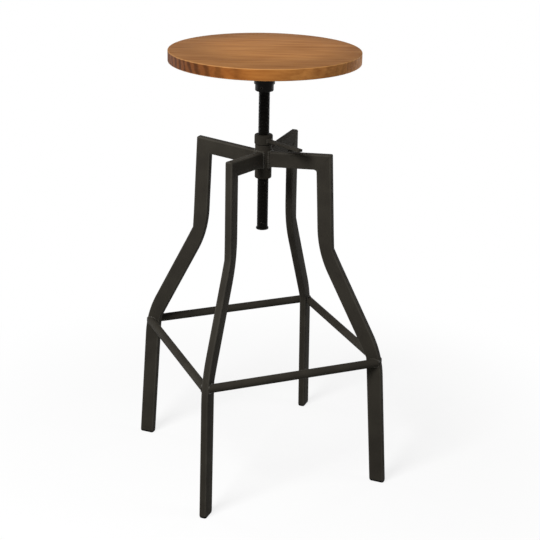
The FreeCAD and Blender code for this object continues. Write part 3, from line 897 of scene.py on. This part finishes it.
class BARSTOOL_OT_tube_frame(Operator):
    """Model the arms and the bent legs of rectangular tube, with their welds"""

    bl_idname = "bar_stool.tube_frame"
    bl_label = "Arms and legs"

    def execute(self, context):
        tube = context.scene.bar_stool.tube_frame
        section = (tube.tube_depth, tube.tube_width, tube.tube_corner)
        hub = Z * tube.arm_hub_height
        corner = Vector((tube.corner_reach, 0, tube.corner_height))
        shoulder = Vector((tube.shoulder_reach, 0, tube.shoulder_height))
        knee, foot, lean = lower_leg(tube)
        leg_way = (shoulder - corner).normalized()
        leg_path = [corner - leg_way * tube.tube_depth, shoulder, knee,
                    foot + (foot - knee).normalized() * tube.tube_depth]
        # The legs lean sideways, so the arms turn to meet their leaned corners.
        leaned = lean @ corner
        arm_turn = math.atan2(leaned.y, leaned.x)
        arm_end = Vector((leaned.xy.length, 0, leaned.z))
        arm_way = (hub - arm_end).normalized()
        hub_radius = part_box("hub_sleeve")[1].x
        # An arm's end is buried in the hub's wall and cut upright there.
        buried, trim = 4 * MM, 1.4 * MM
        start = hub - arm_way * (hub_radius - buried)
        arm_path = [start, arm_end - arm_way * tube.tube_depth]
        mitre = (lean @ leg_way - (hub - leaned).normalized()).normalized()
        inward = (leg_way + arm_way).normalized()
        half = inward.angle(arm_way)
        mitre_reach = tube.tube_depth / 2 / math.sin(half)
        # Flat cuts grind the corner's outside round, and its flanks as a ball.
        apex = lean @ (corner - inward * (mitre_reach - tube.apex_round / math.sin(half)))
        rounding = [(apex, lean @ Matrix.Rotation(half * step / 4, 3, "Y") @ -inward)
                    for step in range(-3, 4)]
        for flank in (lean @ Y, lean @ -Y):
            ball = apex + flank * (tube.tube_width / 2 - tube.apex_round)
            rounding += [(ball, (way + flank * rise).normalized())
                         for _, way in rounding[1:6:2] for rise in (0.5, 1.5)]
        slope = arm_way.z / arm_way.x
        for side, angle in LEG_AZIMUTHS.items():
            bm = swept_tube(section, leg_path, tube.bend_radius, tube.crease)
            rotate(bm, lean)
            self.mitre_cut(bm, leaned, -mitre, rounding, tube.apex_round)
            slice_off(bm, (0, 0, tube.glide_height), -Z)
            about_spindle(bm, angle)
            add_piece(bm, f"leg_tube_{side}", "frame", coat(), f"leg_{side}")
            bm = swept_tube(section, arm_path, tube.bend_radius, 0)
            slice_off(bm, start + X * trim, -X)
            about_spindle(bm, arm_turn)
            self.mitre_cut(bm, leaned, mitre, rounding, tube.apex_round)
            about_spindle(bm, angle)
            add_piece(bm, f"arm_tube_{side}", "frame", coat(), f"arm_{side}")
            bm = bmesh.new()
            lay_bead(bm, hub_seam(hub_radius, tube.tube_depth, tube.tube_width, hub.z, slope), tube)
            about_spindle(bm, arm_turn + angle)
            add_piece(bm, f"arm_weld_{side}", "frame", weld_coat())
            bm = bmesh.new()
            fill_crook(bm, corner + inward * mitre_reach, arm_way, leg_way, tube.crook_fillet,
                       tube.tube_width - 1.4 * tube.tube_corner)
            rotate(bm, lean)
            about_spindle(bm, angle)
            add_piece(bm, f"corner_weld_{side}", "frame", coat())
        return {"FINISHED"}

    def mitre_cut(self, bm, corner, mitre, rounding, radius):
        """Cut a tube's end to its mitre and grind the outside of the corner round."""
        slice_off(bm, corner, mitre)
        for point, way in rounding:
            slice_off(bm, point + way * radius, way)


class BARSTOOL_OT_footrests(Operator):
    """Model the four footrest rods, welded between the legs"""

    bl_idname = "bar_stool.footrests"
    bl_label = "Footrests"

    def execute(self, context):
        tube = context.scene.bar_stool.tube_frame
        radius = tube.rod_diameter / 2
        half = tube.tube_width / 2
        lean = lower_leg(tube)[2]
        shift = (lean @ Vector((0, 0, tube.rod_height))).y
        swing = Matrix.Rotation(math.atan2(shift, tube.rod_offset * math.sqrt(2)), 3, "Z")
        middle = swing @ Vector((0, -tube.rod_offset, tube.rod_height))
        way = swing @ X
        # A rod ends on the flat sides of the two legs that it joins.
        turns = [Matrix.Rotation(LEG_AZIMUTHS[leg], 3, "Z") for leg in ("front_left", "front_right")]
        faces = [turns[0] @ lean @ Y, turns[1] @ lean @ -Y]
        edge = tube.knee_reach + tube.tube_depth / 2 - 2 * MM
        for side, angle in ROD_AZIMUTHS.items():
            bm = bmesh.new()
            round_bar(bm, radius, 3 * tube.rod_offset, aimed(middle, way), segments=48)
            for face, turned in zip(faces, turns):
                slice_off(bm, face * half, -face)
                slice_off(bm, turned @ X * edge, turned @ X)
            about_spindle(bm, angle)
            add_piece(bm, f"footrest_rod_{side}", "frame", coat(), f"footrest_{side}")
            bm = bmesh.new()
            for face in faces:
                ring = []
                for step in range(36):
                    around = math.radians(10 * step)
                    place = middle + (way.cross(Z) * math.cos(around) + Z * math.sin(around)) * radius
                    ring.append(place + way * (half - face.dot(place)) / face.dot(way))
                lay_bead(bm, ring, tube, width=0.6)
            for turned in turns:
                slice_off(bm, turned @ X * edge, turned @ X)
            about_spindle(bm, angle)
            add_piece(bm, f"footrest_weld_{side}", "frame", weld_coat())
        return {"FINISHED"}


class BARSTOOL_OT_glides(Operator):
    """Model the plastic feet at the lower ends of the legs"""

    bl_idname = "bar_stool.glides"
    bl_label = "Plastic feet"

    def execute(self, context):
        tube = context.scene.bar_stool.tube_frame
        black = moulded_polythene(tube)
        section = (tube.tube_depth, tube.tube_width, tube.glide_corner)
        knee, foot, lean = lower_leg(tube)
        spare = (foot - knee).normalized() * 20 * MM
        for side, azimuth in LEG_AZIMUTHS.items():
            bm = swept_tube(section, [foot - spare, foot + spare], tube.bend_radius, 0)
            rotate(bm, lean)
            slice_off(bm, (0, 0, tube.glide_height), Z)
            round_edges(bm, slice_off(bm, (0, 0, 0), -Z), tube.glide_edge)
            about_spindle(bm, azimuth)
            add_piece(bm, f"glide_{side}", "frame", black, f"foot_plug_{side}", slot="foot_plastic")
        return {"FINISHED"}


class BARSTOOL_OT_stage(Operator):
    """Set up the camera, the pale floor and the soft studio light"""

    bl_idname = "bar_stool.stage"
    bl_label = "Stage"

    def execute(self, context):
        scene = context.scene
        stage = scene.bar_stool.stage
        scene.view_settings.view_transform = "Standard"
        self.camera(scene, stage)
        self.floor(stage)
        self.world(scene, stage)
        self.soft_box(scene, "key_soft_box", (-1.5, -0.9, 2.0), 0.9, stage.key_power)
        self.soft_box(scene, "fill_soft_box", (2.3, -1.6, 1.7), 1.4, stage.fill_power)
        self.soft_box(scene, "left_back_soft_box", (-1.6, 1.9, 0.45), 0.7, stage.back_power)
        self.soft_box(scene, "right_back_soft_box", (2.4, 0.9, 0.45), 0.7, stage.back_power)
        return {"FINISHED"}

    def camera(self, scene, stage):
        """Camera at the photograph's place and angle."""
        data = bpy.data.cameras.new("photo_camera")
        data.lens = stage.lens
        data.sensor_width = 36
        outward = Vector((math.cos(stage.camera_azimuth), math.sin(stage.camera_azimuth), 0))
        aim = Z.cross(outward) * stage.aim_offset + Z * stage.aim_height
        place = outward * stage.camera_distance + Z * stage.camera_height
        camera = bpy.data.objects.new("photo_camera", data)
        roll = Matrix.Rotation(stage.camera_roll, 4, "Z")
        camera.matrix_world = aimed(place, aim - place, "-Z") @ roll
        scene.collection.objects.link(camera)
        scene.camera = camera

    def floor(self, stage):
        """Pale floor that keeps the stool's shadow and is plain white further out."""
        bm = bmesh.new()
        bmesh.ops.create_grid(bm, x_segments=1, y_segments=1, size=stage.floor_side / 2)
        floor = add_object(bm, "floor")
        material, add = empty_tree("pale_floor")
        seen = self.seen_rays(add)
        place = add("TexCoord").outputs["Object"]
        away = add("VectorMath", {0: place}, operation="LENGTH")
        plain = add("MapRange", {
            "Value": away, "From Min": 320 * MM, "From Max": 850 * MM, "To Min": stage.floor_glow,
        }, **SMOOTH)
        glow = add("Math", {0: seen, 1: plain}, operation="MULTIPLY")
        pale = add("Mix", {
            0: seen, 6: (*stage.floor_grey, 1), 7: (*stage.floor_white, 1)}, data_type="RGBA")
        matt = add("BsdfDiffuse", {"Color": pale})
        white = add("Emission", {"Color": (1, 1, 1, 1), "Strength": 1.0})
        mixed = add("MixShader", {0: glow, 1: matt, 2: white})
        add("OutputMaterial", {"Surface": mixed})
        floor.data.materials.append(material)

    def seen_rays(self, add):
        """One for rays from the camera and for what gloss or glass shows, else zero."""
        path = add("LightPath").outputs
        gloss = add("Math", {0: path["Is Camera Ray"], 1: path["Is Glossy Ray"]}, operation="MAXIMUM")
        return add("Math", {0: gloss, 1: path["Is Transmission Ray"]}, operation="MAXIMUM")

    def world(self, scene, stage):
        """White surroundings that light the stool evenly from all sides."""
        world = bpy.data.worlds.new("studio")
        world.use_nodes = True
        world.node_tree.nodes.clear()
        add = partial(add_node, world.node_tree)
        seen = self.seen_rays(add)
        level = add("Background", {"Color": (1, 1, 1, 1), "Strength": stage.world_level})
        white = add("Background", {"Color": (1, 1, 1, 1), "Strength": 1.0})
        mixed = add("MixShader", {0: seen, 1: level, 2: white})
        add("OutputWorld", {"Surface": mixed})
        scene.world = world

    def soft_box(self, scene, name, place, side, power):
        """Square soft box that points at the stool."""
        data = bpy.data.lights.new(name, "AREA")
        data.size = side
        data.energy = power
        lamp = bpy.data.objects.new(name, data)
        lamp.matrix_world = aimed(place, Z * 0.5 - Vector(place), "-Z")
        scene.collection.objects.link(lamp)


class BARSTOOL_PT_pieces(Panel):
    """Lists the steps that build the stool."""

    bl_idname = "BARSTOOL_PT_pieces"
    bl_label = "Swivel bar stool"
    bl_space_type = "VIEW_3D"
    bl_region_type = "UI"
    bl_category = "Bar stool"

    def draw(self, context):
        for step in STEPS:
            self.layout.operator(step.bl_idname)


GROUPS = (SeatBoardSettings, SeatMountSettings, SpindleSettings, TubeFrameSettings, LockSettings,
          StageSettings, StoolSettings)
STEPS = (BARSTOOL_OT_seat_board, BARSTOOL_OT_seat_mount, BARSTOOL_OT_spindle, BARSTOOL_OT_hub,
         BARSTOOL_OT_lock, BARSTOOL_OT_tube_frame, BARSTOOL_OT_footrests, BARSTOOL_OT_glides,
         BARSTOOL_OT_stage)


def register():
    """Register the settings, the operators and the panel."""
    for group in (*GROUPS, *STEPS, BARSTOOL_PT_pieces):
        bpy.utils.register_class(group)
    bpy.types.Scene.bar_stool = PointerProperty(type=StoolSettings)


def unregister():
    """Remove the settings, the operators and the panel."""
    del bpy.types.Scene.bar_stool
    for group in reversed((*GROUPS, *STEPS, BARSTOOL_PT_pieces)):
        bpy.utils.unregister_class(group)


def main():
    """Build the stool and its stage."""
    register()
    bpy.ops.bar_stool.seat_board()
    bpy.ops.bar_stool.seat_mount()
    bpy.ops.bar_stool.spindle()
    bpy.ops.bar_stool.hub()
    bpy.ops.bar_stool.lock()
    bpy.ops.bar_stool.tube_frame()
    bpy.ops.bar_stool.footrests()
    bpy.ops.bar_stool.glides()
    bpy.ops.bar_stool.stage()


if __name__ == "__main__":
    main()
